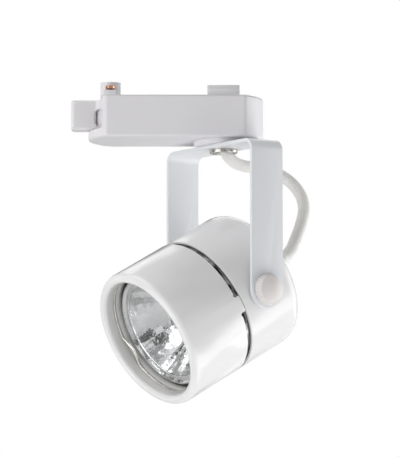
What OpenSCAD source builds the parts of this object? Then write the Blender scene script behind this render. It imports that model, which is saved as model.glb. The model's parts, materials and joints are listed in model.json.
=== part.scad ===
// Low-voltage track spotlight: track adapter with a locking lever, swivelling
// bent-strip yoke, and a two-part cylindrical head that tilts between two knobs.
//
// Frame: the origin is the centre of the adapter's shoulder, which bears on the
// underside of the track.  +X runs along the track, +Z points up into the track.
// The yoke is drawn at its swivel angle and the head at its tilt angle.

/* [Adapter] */
// Length along the track, over the rounded ends
adapter_l = 76; // [72:1:110]
// Width across the track
adapter_w = 36; // [32:1:46]
// Height of the housing below the track
adapter_h = 18; // [17:0.5:26]
// How far each rounded end bulges past the flat sides
end_bulge = 8; // [4:0.5:12]
// Side wall of the housing
housing_wall = 1.8; // [1.4:0.1:2.6]
// Floor of the housing
floor_t = 2; // [1.6:0.1:3]
// Thickness of the top cover
cover_t = 1.8; // [1.4:0.1:2.4]

/* [Locking lever] */
// Distance of the lever's axis from the end of the housing
lever_inset = 9.5; // [9:0.5:12]
// Reach of the lever from its axis
lever_reach = 17.1; // [15:0.1:24]
// Width of the lever's arm
lever_w = 9.4; // [7:0.1:12]
// Height of the lever's arm
lever_h = 13; // [12:0.5:15]
// Swing of the lever from locked to open, in degrees
lever_swing = 60; // [45:1:75]
// Radius of the lever's two discs
lever_disc_r = 7.8; // [6.5:0.1:9]
// Reach of the track contacts from the lever's axis
contact_reach = 8; // [7:0.1:10]

/* [Swivel] */
// Distance of the swivel axis from the middle of the adapter
swivel_x = 20.7; // [12:0.1:22]
// Swivel angle as drawn, in degrees
swivel_angle = 56.5; // [0:0.5:90]
// Radius of the friction disc
disc_r = 13; // [9:0.5:15]
// Thickness of the friction disc
disc_t = 2; // [1.5:0.1:3]
// Outer radius of the hollow nipple's thread
nipple_r = 5; // [4.5:0.1:6]
// Radius of the nipple's flange
nipple_flange_r = 6.1; // [5.8:0.1:8]
// Bore radius of the nipple
nipple_bore_r = 3.9; // [3.5:0.1:4.2]

/* [Yoke] */
// Width of the strip
strip_w = 16; // [12:0.5:20]
// Thickness of the strip
strip_t = 1.5; // [1.2:0.1:2.5]
// Outer bend radius of the strip
bend_r = 5; // [3:0.5:8]
// Height from the track to the tilt axis
pivot_drop = 84.5; // [80:0.5:110]
// Space between each leg and the side of the head
leg_gap = 0.8; // [0.7:0.1:1.5]

/* [Head] */
// Outer radius of the head
head_r = 31; // [30:0.5:38]
// Wall of the rear can and the front bezel
head_wall = 1.2; // [0.8:0.1:1.6]
// Distance from the tilt axis to the front of the head
head_front = 45.4; // [44:0.5:70]
// Distance from the tilt axis to the back of the head
head_back = 18.3; // [17:0.1:30]
// Tilt of the head below level as drawn, in degrees
tilt_angle = 28.5; // [0:0.5:60]
// Fillet round the back of the head
back_fillet = 6.5; // [3:0.5:8]
// Rounding of the front lip outside
lip_fillet = 3; // [1.5:0.1:3.5]
// Rounding of the front lip inside
lip_inner_fillet = 2; // [1:0.1:2.2]
// Radius of the front opening
opening_r = 26.7; // [25.8:0.1:28]
// Distance from the tilt axis to the rear can's front edge
gap_back = 12.5; // [10:0.1:16]
// Width of the ring gap between can and bezel
gap_w = 2.6; // [1.5:0.1:3]

/* [Lamp] */
// Radius of the reflector lamp's rim
lamp_r = 25; // [24.5:0.05:25.4]
// Distance of the lamp's front glass behind the front of the head
lamp_recess = 8.2; // [7:0.1:10]
// Depth of the lamp from its glass to its base
lamp_depth = 39.6; // [38:0.1:40]
// Spacing of the two lamp pins
pin_pitch = 5.3; // [4:0.1:6.35]

/* [Knobs] */
// Radius of the tilt knobs
knob_r = 6.8; // [5.5:0.1:9]
// Height of the tilt knobs
knob_h = 4.5; // [3.5:0.1:8]
// Number of grooves round each knob
knob_grooves = 28; // [20:1:40]
// Radius of the knob's stud
stud_r = 2; // [1.5:0.1:2.5]

/* [Cable] */
// Diameter of the sleeved cable
cable_d = 5.2; // [4.4:0.1:5.4]
// Offset of the cable bush from the head's axis, towards the near leg
bush_side = 17; // [14:0.5:18]
// Offset of the cable bush above the head's axis
bush_up = 4; // [0:0.5:6]
// How far the cable bush stands out of the head
bush_out = 7; // [5:0.5:9]

/* [Hidden] */
$fn = 64;
eps = 0.01;
run_c = 0.05;      // running clearance of a pin in its bore, on the radius
fit_c = 0.1;       // clearance of a lid or a sleeve in its seat
face_c = 0.05;     // clearance between two faces that turn on each other

// Adapter
end_r = (pow(adapter_w / 2, 2) + pow(end_bulge, 2)) / (2 * end_bulge);
end_cx = adapter_l / 2 - end_r;
floor_z = floor_t - adapter_h;
rim_w = 0.9;       // housing rim that shows round the cover
boss_r = 2.8;
cover_screw_r = 1.25;
cover_head_r = 2.4;
cover_screws_at = [[-16, 12.6], [-16, -12.6], [adapter_l / 2 - 5.2, 0]];

// Lever and contact rotor
lever_x = lever_inset - adapter_l / 2;
lever_top = -0.4;
lever_c = 0.4;     // clearance of the lever in its slot
upper_disc_t = 4.4;
lower_disc_t = 1.6;
arm_in = 6.2;      // the arm's block ends this far from the lever's axis
shield_t = 1.2;    // curved wall between the discs, which covers the slip rings
shield_from = 2.2; // it begins this far behind the axis, so that it clears the wipers over the full swing
rotor_r = 2;       // radius of the rotor's shaft
rotor_head_r = 4.4;
rotor_head_h = 8;
socket_r = 4;
socket_top = lever_top - lever_h - 0.35;
ring_r = 3.3;
ring_t = 1.6;
ring_gap = 1.2;
ring_z = [for (i = [0, 1]) lever_top - upper_disc_t - ring_gap - i * (ring_t + ring_gap)];
blade_w = 4;
blade_t = 1;
blade_z = 4.4;

// Contact block and leads
block_l = 18;
block_w = 13;
block_h = 10.5;
block_x = -3;
lead_r = 0.9;
lead_y = 3.2;
wiper_t = 0.4;
wiper_w = 1.2;
wiper_root = 1.4;  // how far a wiper stands in the block
screw_pitch = 9;
key_l = 14;
key_w = 9.6;
key_h = 6.4;
key_x = swivel_x;
key_foot = 1.2;
key_rim = 1.4;     // how far the key's foot stands out round it

// Swivel
disc_top = -adapter_h;
plate_top = disc_top - disc_t - fit_c;
plate_bottom = plate_top - strip_t;
flange_h = 1.8;
nipple_bottom = plate_bottom - flange_h;
stop_t = 0.8;
stop_tab = 8.9;
stop_w = 1.6;
wave_t = 0.9;
nut_h = 3;
nut_r = 7;         // across the corners
washer_r = 7.2;
stop_z = floor_z + face_c;
wave_z = stop_z + stop_t;
nut_z = wave_z + wave_t;
nipple_top = nut_z + nut_h + 1;

// Yoke
inner_half = head_r + leg_gap;
outer_half = inner_half + strip_t;
leg_end_r = strip_w / 2;

// Head, measured along its axis from the tilt axis, positive to the front
sleeve_r = head_r - head_wall - fit_c;
sleeve_t = 0.8;
sleeve_back = 6;
bezel_back = gap_back + gap_w;
sleeve_front = bezel_back + 10;
tab_w = 7.2;
tab_gap = 0.45;
pad_r = 6.5;
pad_h = 0.2;
tilt_washer_r = 5.6;
insert_r = 3;
insert_flange_r = 4.6;
insert_flange_t = 1.6;
insert_seat = sqrt(pow(head_r - head_wall, 2) - pow(insert_flange_r, 2)) - face_c;
return_t = 1.3;    // inner tube of the bezel round the lamp
return_depth = 10;
groove_back = head_front - 6.8;
groove_w = 1.4;
groove_d = 0.9;
wire_r = 0.5;
wire_ring_r = opening_r + groove_d - wire_r - fit_c;
kink_in = 3.6;     // the ring's kinks reach this far inwards
kink_half = 14.5;   // half the angle that a kink takes
ring_start = 15;   // where the wire's ends meet; a kink sits 60 degrees on

// Lamp
glass_front = head_front - lamp_recess;
rim_h = 2.6;
glass_t = 1.2;
lens_r = lamp_r - 1;
dish_r = 21.8;
dish_depth = 20;
dish_neck = 5.2;
shell_t = 1.6;
base_r = 8.4;
base_h = 11;
lamp_back = glass_front - lamp_depth;
pin_r = 0.75;
pin_l = 6.5;
capsule_r = 4.3;
capsule_l = 25;
holder_l = 17;
holder_w = 10;
holder_h = 9.6;
holder_front = lamp_back - face_c;
lead_in = 4;
bracket_t = 0.8;
bracket_w = 9;
bracket_leg = 11;
bracket_foot = 6.4;
bracket_screw = bracket_leg + 3.6;
bracket_front = holder_front - holder_h;
can_floor = head_wall - head_back;
small_screw_r = 1.5;

// Cable
bush_r = 3.4;
bush_flange_r = 4.6;
bush_flange_t = 1.4;
bush_bore_r = cable_d / 2 + 0.35;
cable_sides = 8;
cable_steps = 3;   // rings between two route points
cable_route = [
    [20.7, 0, -10], [20.7, 0, -14], [20.7, 0, -17.5], [20.9, 0.1, -20], [21.7, 0.6, -22.5],
    [23.4, 1.7, -25], [26.1, 3.5, -27], [29.6, 5.9, -28], [33.7, 8.5, -28.3],
    [38, 10.8, -28.7], [42.3, 12.4, -29.8], [46.4, 13.2, -31.6], [50.1, 13.2, -34.2],
    [53.1, 12.6, -37.6], [55.2, 11.6, -41.6], [56, 10.3, -46.2], [55.4, 8.7, -50.6],
    [54.2, 6.8, -54.8], [52.7, 4.6, -58.8], [51.3, 2.3, -62.3], [49.9, 0, -65.3],
    [48.2, -1.8, -67.6], [45.8, -3.7, -69.6], [43.4, -5.4, -71.3], [41, -6.9, -72.8]
];

// ---------- places ----------

module at_lever() { translate([lever_x, 0, 0]) children(); }

module at_swivel() { translate([swivel_x, 0, 0]) rotate([0, 0, -swivel_angle]) children(); }

// The head's axis is drawn along +Z, with the near knob at +X
module at_head() {
    translate([0, 0, -pivot_drop]) at_swivel() rotate([90 + tilt_angle, 0, 0]) children();
}

module at_both_knobs() { for (side = [0, 180]) at_head() rotate([0, 0, side]) children(); }

// ---------- shared shapes ----------

module ring(r_out, r_in, h) {
    difference() {
        cylinder(r = r_out, h = h);
        translate([0, 0, -eps]) cylinder(r = r_in, h = h + 2 * eps);
    }
}

// Bar from the origin to +X with its far corners rounded
module round_bar(l, w, r) {
    translate([0, -w / 2]) square([l - r, w]);
    translate([0, r - w / 2]) square([l, w - 2 * r]);
    for (side = [-1, 1]) translate([l - r, side * (w / 2 - r)]) circle(r = r);
}

// Outline of the adapter in plan, set in from the outer surface
module plan(inset) {
    intersection() {
        square([adapter_l, adapter_w - 2 * inset], center = true);
        union() {
            square([2 * end_cx, adapter_w], center = true);
            for (side = [-1, 1]) translate([side * end_cx, 0]) circle(r = end_r - inset, $fn = 128);
        }
    }
}

// Plan of the space that the lever sweeps, from locked to open
module lever_sweep() {
    far = lever_reach + 4;
    half = lever_w / 2 + lever_c;
    at_lever() {
        circle(r = lever_disc_r + lever_c);
        for (turn = [0, lever_swing]) rotate(180 + turn) translate([0, -half]) square([far, 2 * half]);
        polygon([[0, 0], for (turn = [0:lever_swing / 4:lever_swing])
            far * [cos(180 + turn), sin(180 + turn)]]);
    }
}

// ---------- cable sweep ----------

function spline(p, i, t) =
    let (a = p[max(i - 1, 0)], b = p[i], c = p[i + 1], d = p[min(i + 2, len(p) - 1)])
    0.5 * (2 * b + t * (c - a) + t * t * (2 * a - 5 * b + 4 * c - d)
        + t * t * t * (3 * b - a - 3 * c + d));

function smooth(p, n) =
    concat([for (i = [0:len(p) - 2], k = [0:n - 1]) spline(p, i, k / n)], [p[len(p) - 1]]);

function unit(v) = v / norm(v);

function heading(p, i) = unit(p[min(i + 1, len(p) - 1)] - p[max(i - 1, 0)]);

// Side direction carried from ring to ring without twist
function sides(p, s, i = 0) =
    i == len(p) ? [] :
    let (h = heading(p, i), side = unit(s - (s * h) * h)) concat([side], sides(p, side, i + 1));

module tube(p, r, n, start = [1, 0, 0]) {
    s = sides(p, start);
    points = [for (i = [0:len(p) - 1], k = [0:n - 1])
        let (h = heading(p, i), a = 360 * k / n)
        p[i] + r * (cos(a) * s[i] + sin(a) * cross(h, s[i]))];
    skin = [for (i = [0:len(p) - 2], k = [0:n - 1])
        let (j = (k + 1) % n)
        each [[i * n + k, (i + 1) * n + j, i * n + j], [i * n + k, (i + 1) * n + k, (i + 1) * n + j]]];
    first = [for (k = [0:n - 1]) k];
    last = [for (k = [n - 1:-1:0]) (len(p) - 1) * n + k];
    polyhedron(points = points, faces = concat(skin, [first, last]));
}

// Insulated lead along a smooth line through a few points
module lead(p) { tube(smooth(p, 4), lead_r, 8, [0, 1, 0]); }

// ---------- adapter ----------

module adapter_housing() color("whitesmoke") {
    difference() {
        union() {
            difference() {
                translate([0, 0, -adapter_h]) linear_extrude(adapter_h) plan(0);
                translate([0, 0, floor_z]) linear_extrude(adapter_h) plan(housing_wall);
            }
            intersection() {
                translate([0, 0, floor_z - eps]) linear_extrude(-cover_t - floor_z) plan(housing_wall / 2);
                for (at = cover_screws_at) translate([at[0], at[1], -adapter_h]) cylinder(r = boss_r, h = adapter_h);
            }
            at_lever() translate([0, 0, floor_z - eps]) cylinder(r = socket_r, h = socket_top - floor_z);
            at_swivel() translate([0, -stop_w / 2, floor_z - eps]) translate([washer_r + 0.6, 0, 0])
                cube([2.4, stop_w, 3]);
        }
        translate([0, 0, -cover_t]) linear_extrude(adapter_h) plan(rim_w);
        translate([0, 0, lever_top - lever_h - lever_c]) linear_extrude(adapter_h) lever_sweep();
        at_lever() translate([0, 0, floor_z]) cylinder(r = rotor_r + run_c, h = adapter_h);
        translate([swivel_x, 0, -adapter_h - eps]) cylinder(r = nipple_r + run_c, h = adapter_h);
        for (at = cover_screws_at)
            translate([at[0], at[1], floor_z]) cylinder(r = cover_screw_r, h = adapter_h);
    }
}

module adapter_cover() color("white") {
    difference() {
        translate([0, 0, -cover_t]) linear_extrude(cover_t) plan(rim_w + fit_c);
        translate([0, 0, -adapter_h]) linear_extrude(2 * adapter_h) lever_sweep();
        for (at = cover_screws_at) translate([at[0], at[1], -cover_t - eps]) {
            cylinder(r = cover_screw_r + fit_c, h = adapter_h);
            translate([0, 0, cover_t - cover_head_r + cover_screw_r])
                cylinder(r1 = cover_screw_r + fit_c, r2 = cover_head_r + 2 * fit_c,
                    h = cover_head_r - cover_screw_r + 2 * eps);
        }
        translate([key_x, 0, 0]) cube([key_l + 2 * fit_c, key_w + 2 * fit_c, adapter_h], center = true);
    }
}

module cover_screws() color("silver") {
    for (at = cover_screws_at) translate([at[0], at[1], 0]) difference() {
        union() {
            translate([0, 0, -10]) cylinder(r = cover_screw_r - 0.05, h = 9.5);
            translate([0, 0, cover_screw_r - cover_head_r - 0.1])
                cylinder(r1 = cover_screw_r - 0.05, r2 = cover_head_r, h = cover_head_r - cover_screw_r);
        }
        for (turn = [0, 90]) rotate([0, 0, turn]) cube([2.6, 0.6, 1.4], center = true);
    }
}

module guide_key() color("white") {
    difference() {
        union() {
            translate([key_x - key_l / 2, -key_w / 2, -cover_t - key_foot])
                cube([key_l, key_w, cover_t + key_foot + key_h]);
            // foot that bears on the cover from inside
            translate([key_x - key_l / 2 - key_rim, -key_w / 2 - key_rim, -cover_t - key_foot - face_c])
                cube([key_l + 2 * key_rim, key_w + 2 * key_rim, key_foot]);
        }
        for (side = [-1, 1]) translate([key_x, side * (key_w / 2 + 2.6), key_h])
            rotate([0, 90, 0]) cylinder(r = 4, h = key_l + 1, center = true);
    }
}

module terminal_block() color("ivory") {
    difference() {
        translate([block_x - block_l / 2, -block_w / 2, floor_z]) cube([block_l, block_w, block_h]);
        for (side = [-1, 1]) translate([block_x, side * lead_y, floor_z + block_h / 2]) {
            rotate([0, 90, 0]) cylinder(r = 1.6, h = block_l + 1, center = true);
            for (end = [-1, 1]) translate([end * screw_pitch / 2, 0, 0]) cylinder(r = 1.7, h = block_h);
        }
        for (i = [0, 1]) translate([block_x - block_l / 2 - 1, (1 - 2 * i) * lead_y, wiper_z(i)])
            cube([2 * wiper_root + 2, wiper_t + 0.1, wiper_w + 0.1], center = true);
    }
}

module terminal_screws() color("goldenrod") {
    for (side = [-1, 1], end = [-1, 1])
        translate([block_x + end * screw_pitch / 2, side * lead_y, floor_z + block_h / 2 + lead_r + face_c]) difference() {
            cylinder(r = 1.5, h = 2.8);
            translate([0, 0, 2.6]) cube([4, 0.5, 1], center = true);
        }
}

function wiper_z(i) = ring_z[i] - ring_t / 2;

module wiper_springs() color("peru") {
    from_x = block_x - block_l / 2 + wiper_root;
    tip_x = lever_x + ring_r + face_c;
    for (i = [0, 1]) {
        side = 1 - 2 * i;
        z = wiper_z(i) - wiper_w / 2;
        translate([tip_x, -1, z]) cube([wiper_t, 2, wiper_w]);
        translate([tip_x, min(side, side * lead_y), z]) cube([wiper_t, lead_y - 1, wiper_w]);
        translate([tip_x, side * lead_y - wiper_t / 2, z]) cube([from_x - tip_x, wiper_t, wiper_w]);
    }
}

module supply_leads() color("firebrick") {
    bore_z = floor_z + block_h / 2;
    for (side = [-1, 1]) lead([
        [block_x + 2, side * lead_y, bore_z], [block_x + block_l / 2 + 1, side * lead_y, bore_z],
        [swivel_x - 0.3, side * 1.1, nipple_top + 2.2]
    ]);
}

module friction_disc() color("gainsboro") {
    translate([swivel_x, 0, disc_top - disc_t]) ring(disc_r, nipple_r + run_c, disc_t);
}

// ---------- locking lever ----------

module lock_lever() color("white") {
    at_lever() difference() {
        union() {
            translate([0, 0, lever_top - upper_disc_t]) cylinder(r = lever_disc_r, h = upper_disc_t);
            translate([0, 0, lever_top - lever_h]) cylinder(r = lever_disc_r, h = lower_disc_t);
            translate([0, 0, lever_top - lever_h]) linear_extrude(lever_h) rotate(180) difference() {
                round_bar(lever_reach, lever_w, 1.8);
                translate([-eps, -lever_w]) square([arm_in, 2 * lever_w]);
            }
            translate([0, 0, lever_top - lever_h]) intersection() {
                ring(arm_in + 0.2, arm_in - shield_t, lever_h);
                translate([-lever_reach - shield_from, -lever_w, 0]) cube([lever_reach, 2 * lever_w, lever_h]);
            }
        }
        translate([0, 0, -adapter_h]) cylinder(r = rotor_r + 0.02, h = adapter_h);
    }
}

module contact_rotor() color("whitesmoke") {
    at_lever() difference() {
        union() {
            translate([0, 0, floor_z + 0.3]) cylinder(r = rotor_r, h = lever_top - floor_z);
            translate([0, 0, lever_top]) cylinder(r = rotor_head_r, h = rotor_head_h);
            translate([-2.6, 0.6 - contact_reach, 1.4]) cube([5.2, 2 * contact_reach - 1.2, 2.2]);
        }
        for (side = [0, 180]) rotate([0, 0, side])
            translate([-blade_w / 2 - 0.02, 1.8, blade_z - 0.02]) cube([blade_w + 0.04, contact_reach, blade_t + 0.04]);
    }
}

module slip_rings() color("goldenrod") {
    for (z = ring_z) at_lever() translate([0, 0, z - ring_t]) ring(ring_r, rotor_r + 0.02, ring_t);
}

module track_contacts() color("peru") {
    at_lever() for (side = [0, 180]) rotate([0, 0, side]) translate([0, 1.9, blade_z]) {
        translate([-blade_w / 2, 0, 0]) cube([blade_w, contact_reach - 3.4, blade_t]);
        translate([0, contact_reach - 3.9, 0]) intersection() {
            cylinder(r = blade_w / 2, h = blade_t);
            translate([0, 2, 0]) cube([blade_w, 4.2, 2 * blade_t + 1], center = true);
        }
    }
}

// ---------- swivel and yoke ----------

module yoke_bracket() color("lightgray") {
    at_swivel() difference() {
        intersection() {
            // bent strip, seen from the front
            rotate([90, 0, 0]) translate([0, 0, -strip_w / 2]) linear_extrude(strip_w) difference() {
                bent_outline(outer_half, plate_top, bend_r);
                bent_outline(inner_half, plate_bottom, bend_r - strip_t);
            }
            // rounded leg ends, seen from the side
            rotate([90, 0, 90]) translate([0, 0, -outer_half - 1]) linear_extrude(2 * outer_half + 2) {
                translate([0, -pivot_drop]) circle(r = leg_end_r);
                translate([-strip_w / 2, -pivot_drop]) square([strip_w, pivot_drop]);
            }
        }
        translate([0, 0, -adapter_h - 10]) cylinder(r = nipple_r + 0.02, h = 20);
        translate([0, 0, -pivot_drop]) rotate([0, 90, 0])
            cylinder(r = stud_r + run_c, h = 2 * outer_half + 2, center = true);
    }
}

module bent_outline(half, top, r) {
    translate([-half, -2 * pivot_drop]) square([2 * half, 2 * pivot_drop + top - r]);
    translate([r - half, -2 * pivot_drop]) square([2 * (half - r), 2 * pivot_drop + top]);
    for (side = [-1, 1]) translate([side * (half - r), top - r]) circle(r = r);
}

module hollow_nipple() color("silver") {
    at_swivel() rotate_extrude() polygon([
        [nipple_bore_r, nipple_top], [nipple_r, nipple_top], [nipple_r, plate_bottom],
        [nipple_flange_r, plate_bottom], [nipple_flange_r, nipple_bottom + 0.4],
        [nipple_flange_r - 0.4, nipple_bottom], [nipple_flange_r - 0.8, nipple_bottom],
        [nipple_bore_r, plate_bottom]
    ]);
}

module stop_washer() color("silver") {
    at_swivel() translate([0, 0, stop_z]) difference() {
        union() {
            cylinder(r = washer_r, h = stop_t);
            translate([-stop_tab, -stop_w / 2, 0]) cube([stop_tab, stop_w, stop_t]);
        }
        translate([0, 0, -eps]) cylinder(r = nipple_r + 0.02, h = 2);
    }
}

module wave_washer() color("silver") {
    at_swivel() translate([0, 0, wave_z]) ring(washer_r - 0.4, nipple_r + 0.1, wave_t);
}

module nipple_nut() color("silver") {
    at_swivel() translate([0, 0, nut_z]) difference() {
        cylinder(r = nut_r, h = nut_h, $fn = 6);
        translate([0, 0, -eps]) cylinder(r = nipple_r + 0.02, h = nut_h + 1);
    }
}

module cable() color("white") {
    tube(smooth(cable_route, cable_steps), cable_d / 2, cable_sides);
}

// ---------- head shells ----------

module rear_can() color("whitesmoke") {
    at_head() difference() {
        union() {
            rotate_extrude($fn = 128) difference() {
                can_section(head_r, -head_back, back_fillet);
                can_section(head_r - head_wall, can_floor, back_fillet - head_wall);
            }
            for (side = [0, 180]) rotate([0, 90, side]) translate([0, 0, head_r - head_wall + 0.2])
                cylinder(r = pad_r, h = head_wall - 0.2 + pad_h);
        }
        rotate([0, 90, 0]) cylinder(r = insert_r + 0.02, h = 2 * head_r + 4, center = true);
        intersection() {
            rotate([0, 90, 0]) cylinder(r = pad_r + 2, h = 2 * head_r + 4, center = true);
            cylinder(r = head_r - head_wall, h = 2 * pad_r + 4, center = true, $fn = 128);
        }
        translate([bush_side, bush_up, -head_back - 1]) cylinder(r = bush_r + run_c, h = head_wall + 2);
        for (side = [-1, 1]) translate([0, side * bracket_screw, -head_back - 1])
            cylinder(r = small_screw_r + fit_c, h = head_wall + 2);
    }
}

// Half section of a round can, closed at its back and open at its front
module can_section(r, back, fillet) {
    translate([0, back]) square([r - fillet, gap_back - back]);
    translate([0, back + fillet]) square([r, gap_back - back - fillet]);
    intersection() {
        translate([r - fillet, back + fillet]) circle(r = fillet);
        translate([0, back]) square([r, head_back]);
    }
}

module coupling_sleeve() color("dimgray") {
    at_head() translate([0, 0, sleeve_back]) difference() {
        ring(sleeve_r, sleeve_r - sleeve_t, sleeve_front - sleeve_back, $fn = 128);
        rivet_holes();
    }
}

module rivet_holes() {
    for (turn = [60, 180, 300]) rotate([0, 0, turn]) translate([0, 0, sleeve_front - sleeve_back - 4])
        rotate([0, 90, 0]) cylinder(r = 1.05, h = head_r + 2);
}

module sleeve_rivets() color("silver") {
    at_head() for (turn = [60, 180, 300]) rotate([0, 0, turn]) translate([0, 0, sleeve_front - 4])
        rotate([0, 90, 0]) translate([0, 0, sleeve_r - sleeve_t - 1]) {
            cylinder(r = 1, h = sleeve_t + 0.9);
            cylinder(r = 1.9, h = 0.7);
        }
}

module front_bezel() color("whitesmoke") {
    at_head() difference() {
        rotate_extrude($fn = 128) bezel_section();
        // the gap, cut away between the three spacer tabs
        translate([0, 0, gap_back - 1]) difference() {
            cylinder(r = head_r + 1, h = gap_w + 1);
            for (turn = [0, 120, 240]) rotate([0, 0, turn]) translate([0, -tab_w / 2, -1])
                cube([2 * head_r, tab_w, gap_w + 3]);
        }
    }
}

module bezel_section() {
    front = head_front;
    back = gap_back + tab_gap;
    // outer tube
    translate([head_r - head_wall, back]) square([head_wall, front - lip_fillet - back]);
    // front ring with a rounded lip
    translate([opening_r, front - 5]) square([head_r - opening_r, 5 - lip_fillet]);
    translate([opening_r, front - 5]) square([lip_inner_fillet, 5 - lip_inner_fillet]);
    translate([opening_r + lip_inner_fillet, front - lip_inner_fillet]) circle(r = lip_inner_fillet);
    intersection() {
        translate([head_r - lip_fillet, front - lip_fillet]) circle(r = lip_fillet);
        translate([head_r - lip_fillet, front - lip_fillet]) square([lip_fillet, lip_fillet]);
    }
    translate([head_r - lip_fillet - 0.1, front - lip_fillet - 1])
        square([max(0.2, opening_r + lip_inner_fillet - head_r + lip_fillet + 0.1), lip_fillet + 1]);
    // inner tube with the groove for the retaining ring
    difference() {
        translate([opening_r, front - return_depth]) square([return_t, return_depth - lip_inner_fillet]);
        translate([opening_r - 1, groove_back]) square([1 + groove_d, groove_w]);
    }
}

// Wire ring that springs into the bezel's groove; its three kinks hold the lamp,
// and its two ends meet with a small space
function ring_point(r, a) = [r * cos(a), r * sin(a), 0];

ring_path = [for (i = [0:2])
    let (from = ring_start + 120 * i, at = from + 60)
    each [for (k = [0:7]) ring_point(wire_ring_r, from + (60 - kink_half) * k / 7),
        ring_point(wire_ring_r - kink_in, at),
        for (k = [0:6]) ring_point(wire_ring_r, at + kink_half + (60 - kink_half) * k / 7.4)]];

module retaining_ring() color("gray") {
    at_head() translate([0, 0, groove_back + groove_w / 2]) tube(ring_path, wire_r, 8, [0, 0, 1]);
}

// ---------- lamp ----------

function dish(r) = pow(r / dish_r, 2) * dish_depth;

module lamp_reflector() color("lightsteelblue") {
    back = glass_front - glass_t - dish_depth;
    rows = 8;
    inner = [for (i = [0:rows]) let (r = dish_neck + (dish_r - dish_neck) * i / rows)
        [r, back + dish(r)]];
    outer = [for (i = [rows:-1:0]) let (r = dish_neck + (dish_r - dish_neck) * i / rows)
        [r + shell_t, back + dish(r) - shell_t]];
    at_head() difference() {
        rotate_extrude($fn = 96) polygon(concat(
            [[dish_neck, lamp_back + base_h - 4]], inner,
            [[dish_r, glass_front - glass_t], [lamp_r, glass_front - glass_t],
             [lamp_r, glass_front - rim_h - glass_t]],
            outer,
            [[base_r, lamp_back + base_h], [base_r, lamp_back + 1], [base_r - 1, lamp_back],
             [0, lamp_back], [0, lamp_back + base_h - 4]]
        ));
        for (side = [-1, 1]) translate([side * pin_pitch / 2, 0, lamp_back - 1]) cylinder(r = pin_r + 0.02, h = 4);
    }
}

module lamp_lens() color("aliceblue") {
    at_head() translate([0, 0, glass_front - glass_t + 0.02]) {
        cylinder(r = lens_r, h = glass_t, $fn = 96);
    }
}

module lamp_capsule() color("lightcyan") {
    at_head() translate([0, 0, lamp_back + base_h - 3.9]) {
        cylinder(r = capsule_r, h = capsule_l - capsule_r);
        translate([0, 0, capsule_l - capsule_r]) sphere(r = capsule_r);
    }
}

module lamp_pins() color("silver") {
    at_head() for (side = [-1, 1]) translate([side * pin_pitch / 2, 0, lamp_back - pin_l])
        cylinder(r = pin_r, h = pin_l + 2.5, $fn = 24);
}

module lamp_holder() color("ivory") {
    at_head() translate([0, 0, holder_front - holder_h]) difference() {
        linear_extrude(holder_h) intersection() {
            square([holder_l, holder_w], center = true);
            circle(r = holder_l / 2 - 0.2);
        }
        for (side = [-1, 1]) translate([side * pin_pitch / 2, 0, holder_h - pin_l - 1])
            cylinder(r = pin_r + 0.15, h = pin_l + 2, $fn = 24);
        for (side = [-1, 1]) translate([holder_l / 2 - 2, side * pin_pitch / 2, lead_in])
            rotate([0, 90, 0]) cylinder(r = lead_r + 3 * fit_c, h = 4, $fn = 24);
    }
}

module holder_bracket() color("silver") {
    top = bracket_front - face_c;
    at_head() difference() {
        union() {
            translate([-bracket_w / 2, -bracket_leg, top - bracket_t]) cube([bracket_w, 2 * bracket_leg, bracket_t]);
            for (side = [-1, 1]) {
                translate([-bracket_w / 2, side > 0 ? bracket_leg - bracket_t : -bracket_leg, can_floor])
                    cube([bracket_w, bracket_t, top - can_floor]);
                translate([-bracket_w / 2, side > 0 ? bracket_leg - bracket_t : -bracket_leg - bracket_foot + bracket_t,
                    can_floor]) cube([bracket_w, bracket_foot, bracket_t]);
            }
        }
        for (side = [-1, 1]) translate([0, side * bracket_screw, can_floor - 1])
            cylinder(r = small_screw_r + 0.02, h = bracket_t + 2);
    }
}

module holder_screws() color("silver") {
    at_head() for (side = [-1, 1]) translate([0, side * bracket_screw, -head_back]) difference() {
        union() {
            cylinder(r = small_screw_r, h = 4);
            translate([0, 0, -1.6]) cylinder(r = 2.7, h = 1.6);
        }
        for (turn = [0, 90]) rotate([0, 0, turn]) translate([0, 0, -1.6]) cube([2.8, 0.7, 1.8], center = true);
    }
}

module cable_bush() color("gainsboro") {
    at_head() translate([bush_side, bush_up, 0]) rotate_extrude() polygon([
        [bush_bore_r, can_floor + bush_flange_t], [bush_flange_r, can_floor + bush_flange_t],
        [bush_flange_r, can_floor], [bush_r, can_floor], [bush_r, -head_back],
        [bush_flange_r, -head_back], [bush_flange_r, -head_back - bush_flange_t],
        [bush_r + 0.5, -head_back - bush_flange_t - 0.4], [bush_r, -head_back - bush_out],
        [bush_bore_r, -head_back - bush_out]
    ]);
}

module lamp_leads() color("firebrick") {
    at_head() for (side = [-1, 1]) lead([
        [bush_side - 0.6, bush_up + side * 1.1, can_floor + 3.2],
        [holder_l / 2 + 1.6, side * pin_pitch / 2, bracket_front + lead_in],
        [holder_l / 2 - 1.6, side * pin_pitch / 2, bracket_front + lead_in]
    ]);
}

// ---------- tilt joint ----------

module pivot_inserts() color("silver") {
    at_both_knobs() rotate([0, 90, 0]) difference() {
        union() {
            translate([0, 0, insert_seat - insert_flange_t]) cylinder(r = insert_flange_r, h = insert_flange_t);
            translate([0, 0, insert_seat - eps]) cylinder(r = insert_r, h = head_r + pad_h - insert_seat);
        }
        cylinder(r = stud_r + run_c, h = head_r + 2);
    }
}

module tilt_washers() color("white") {
    at_both_knobs() rotate([0, 90, 0]) translate([0, 0, head_r + pad_h])
        ring(tilt_washer_r, stud_r + run_c, leg_gap - pad_h - face_c);
}

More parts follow.
